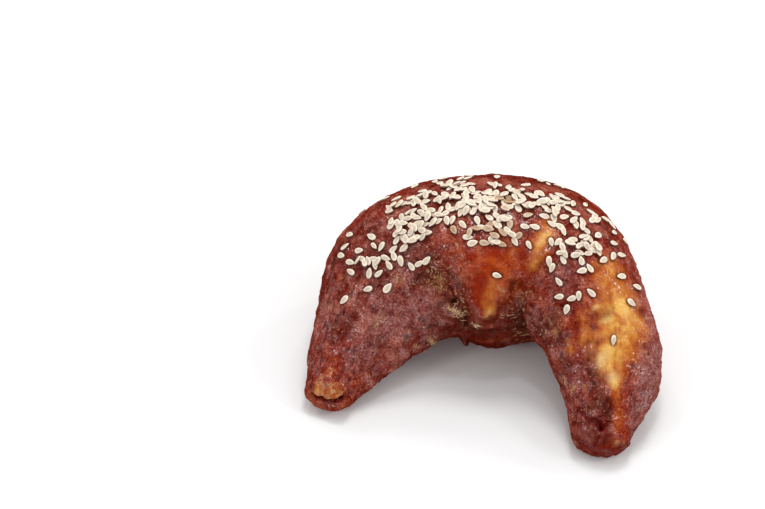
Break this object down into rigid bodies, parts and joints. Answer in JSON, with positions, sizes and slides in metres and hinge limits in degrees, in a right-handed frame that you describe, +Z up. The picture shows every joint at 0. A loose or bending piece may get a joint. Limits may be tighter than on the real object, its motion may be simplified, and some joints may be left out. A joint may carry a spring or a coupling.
{
  "type": "croissant",
  "caption": "Plump crescent wrapped in thin dried meat, strewn with white sesame seeds, lying on its belly and on two blunt horns.",
  "frame": {"origin": "centre of the footprint's bounding box, on the ground it lies on", "axes": "+Z up, +X from the left horn to the right horn, and the horns open towards -Y"},
  "size_m": [0.1058, 0.0786, 0.0498],
  "materials": {
    "crust": "dried, slightly glossy meat wrap over a pale core, with white sesame seeds"
  },
  "bodies": {
    "root": {"croissant": "crust"}
  },
  "joints": []
}
